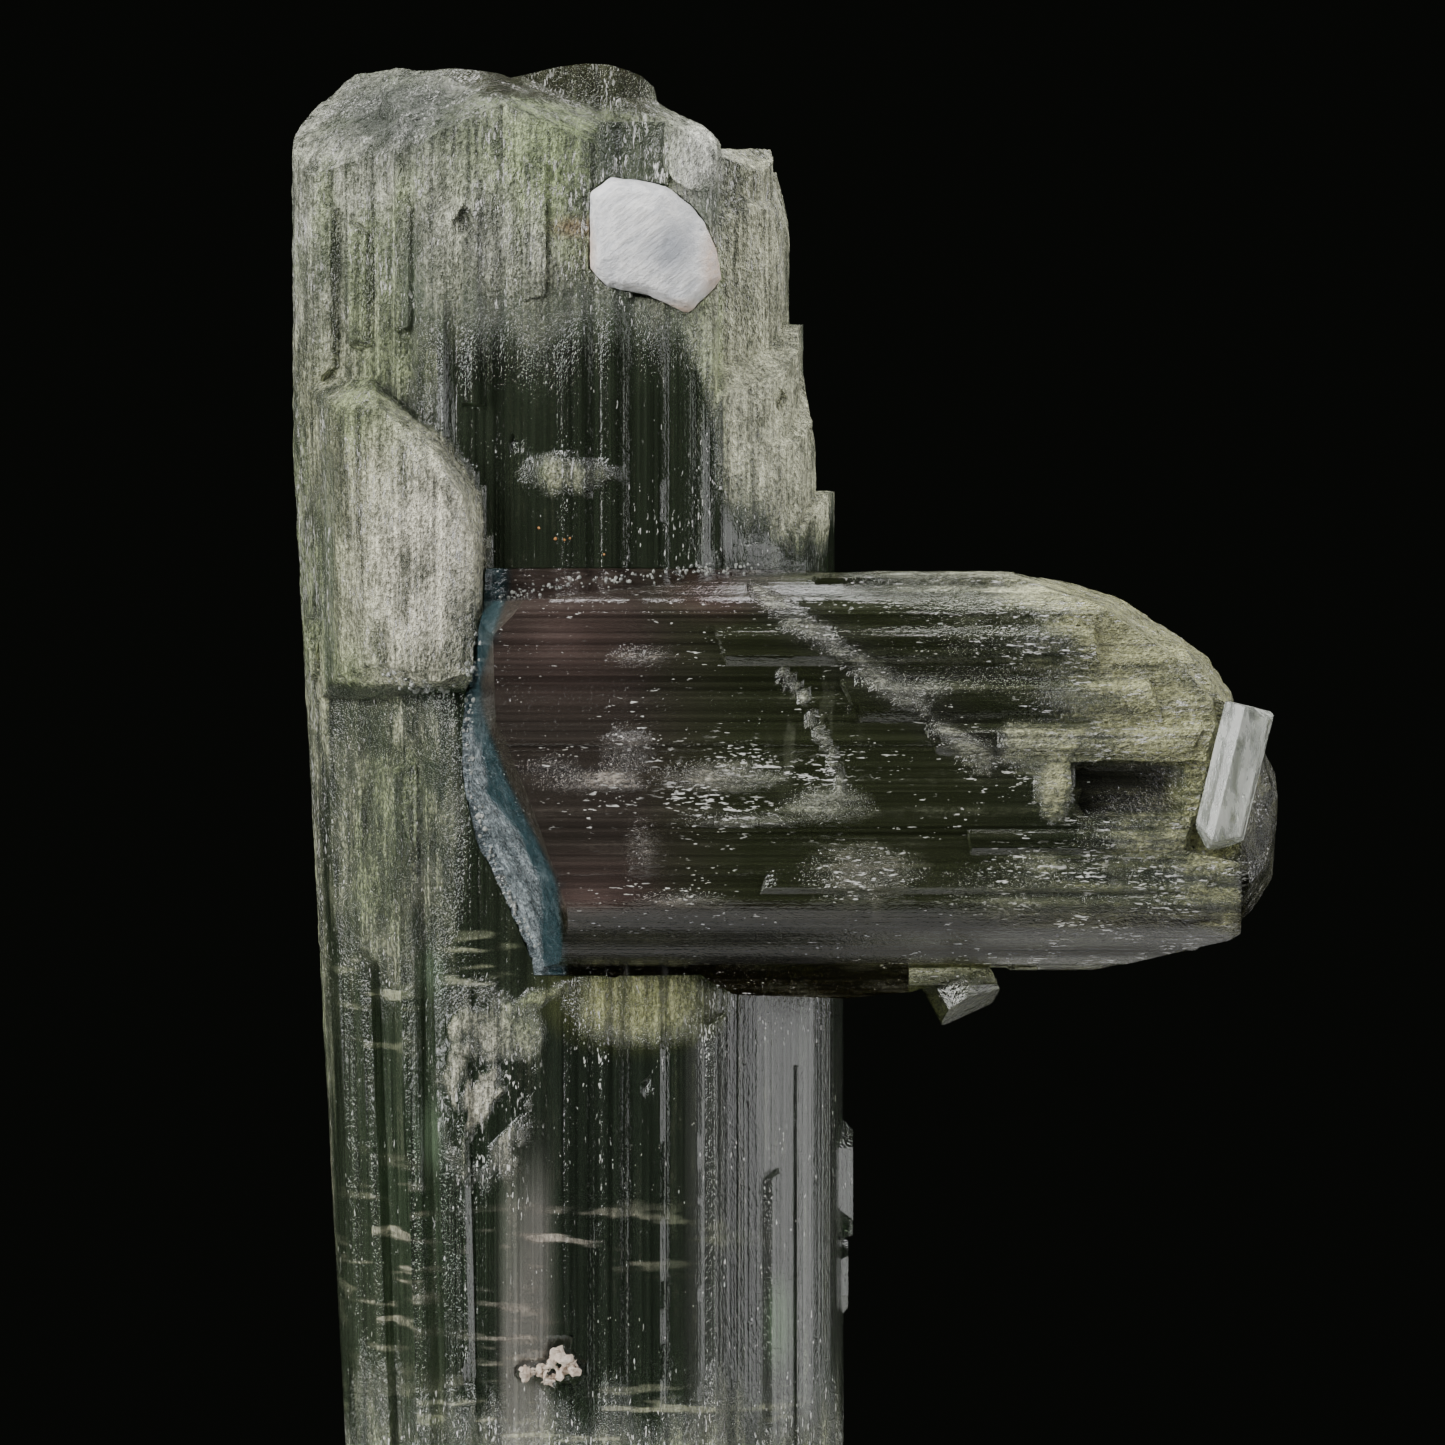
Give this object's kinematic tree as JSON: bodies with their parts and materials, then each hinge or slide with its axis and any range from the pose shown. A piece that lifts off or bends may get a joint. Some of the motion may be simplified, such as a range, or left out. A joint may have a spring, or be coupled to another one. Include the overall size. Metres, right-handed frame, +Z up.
{
  "type": "elbaite crystal cluster",
  "caption": "Upright striated green tourmaline prism on a flat-cut base, with a shorter prism grown straight across its front and small crystals on it.",
  "frame": {"origin": "centre of the flat base that the upright crystal stands on", "axes": "+Z up along the upright crystal, +X right along the cross crystal towards its tip, +Y away from the viewer, the front being -Y"},
  "size_m": [0.0397, 0.0217, 0.0615],
  "materials": {
    "green_tourmaline": "clear dark green to olive and brown crystal, fine growth striations, frosted pale green at the top and the tip",
    "white_crystal": "milky white translucent crystal with faint striations",
    "colourless_crystal": "colourless clear crystal with lengthwise striations and a pearly lower end",
    "feldspar": "rough beige grains"
  },
  "bodies": {
    "root": {"crossed_crystals": "green_tourmaline", "white_crystal": "white_crystal", "tip_prism": "colourless_crystal", "feldspar_crumbs": "feldspar"}
  },
  "joints": []
}
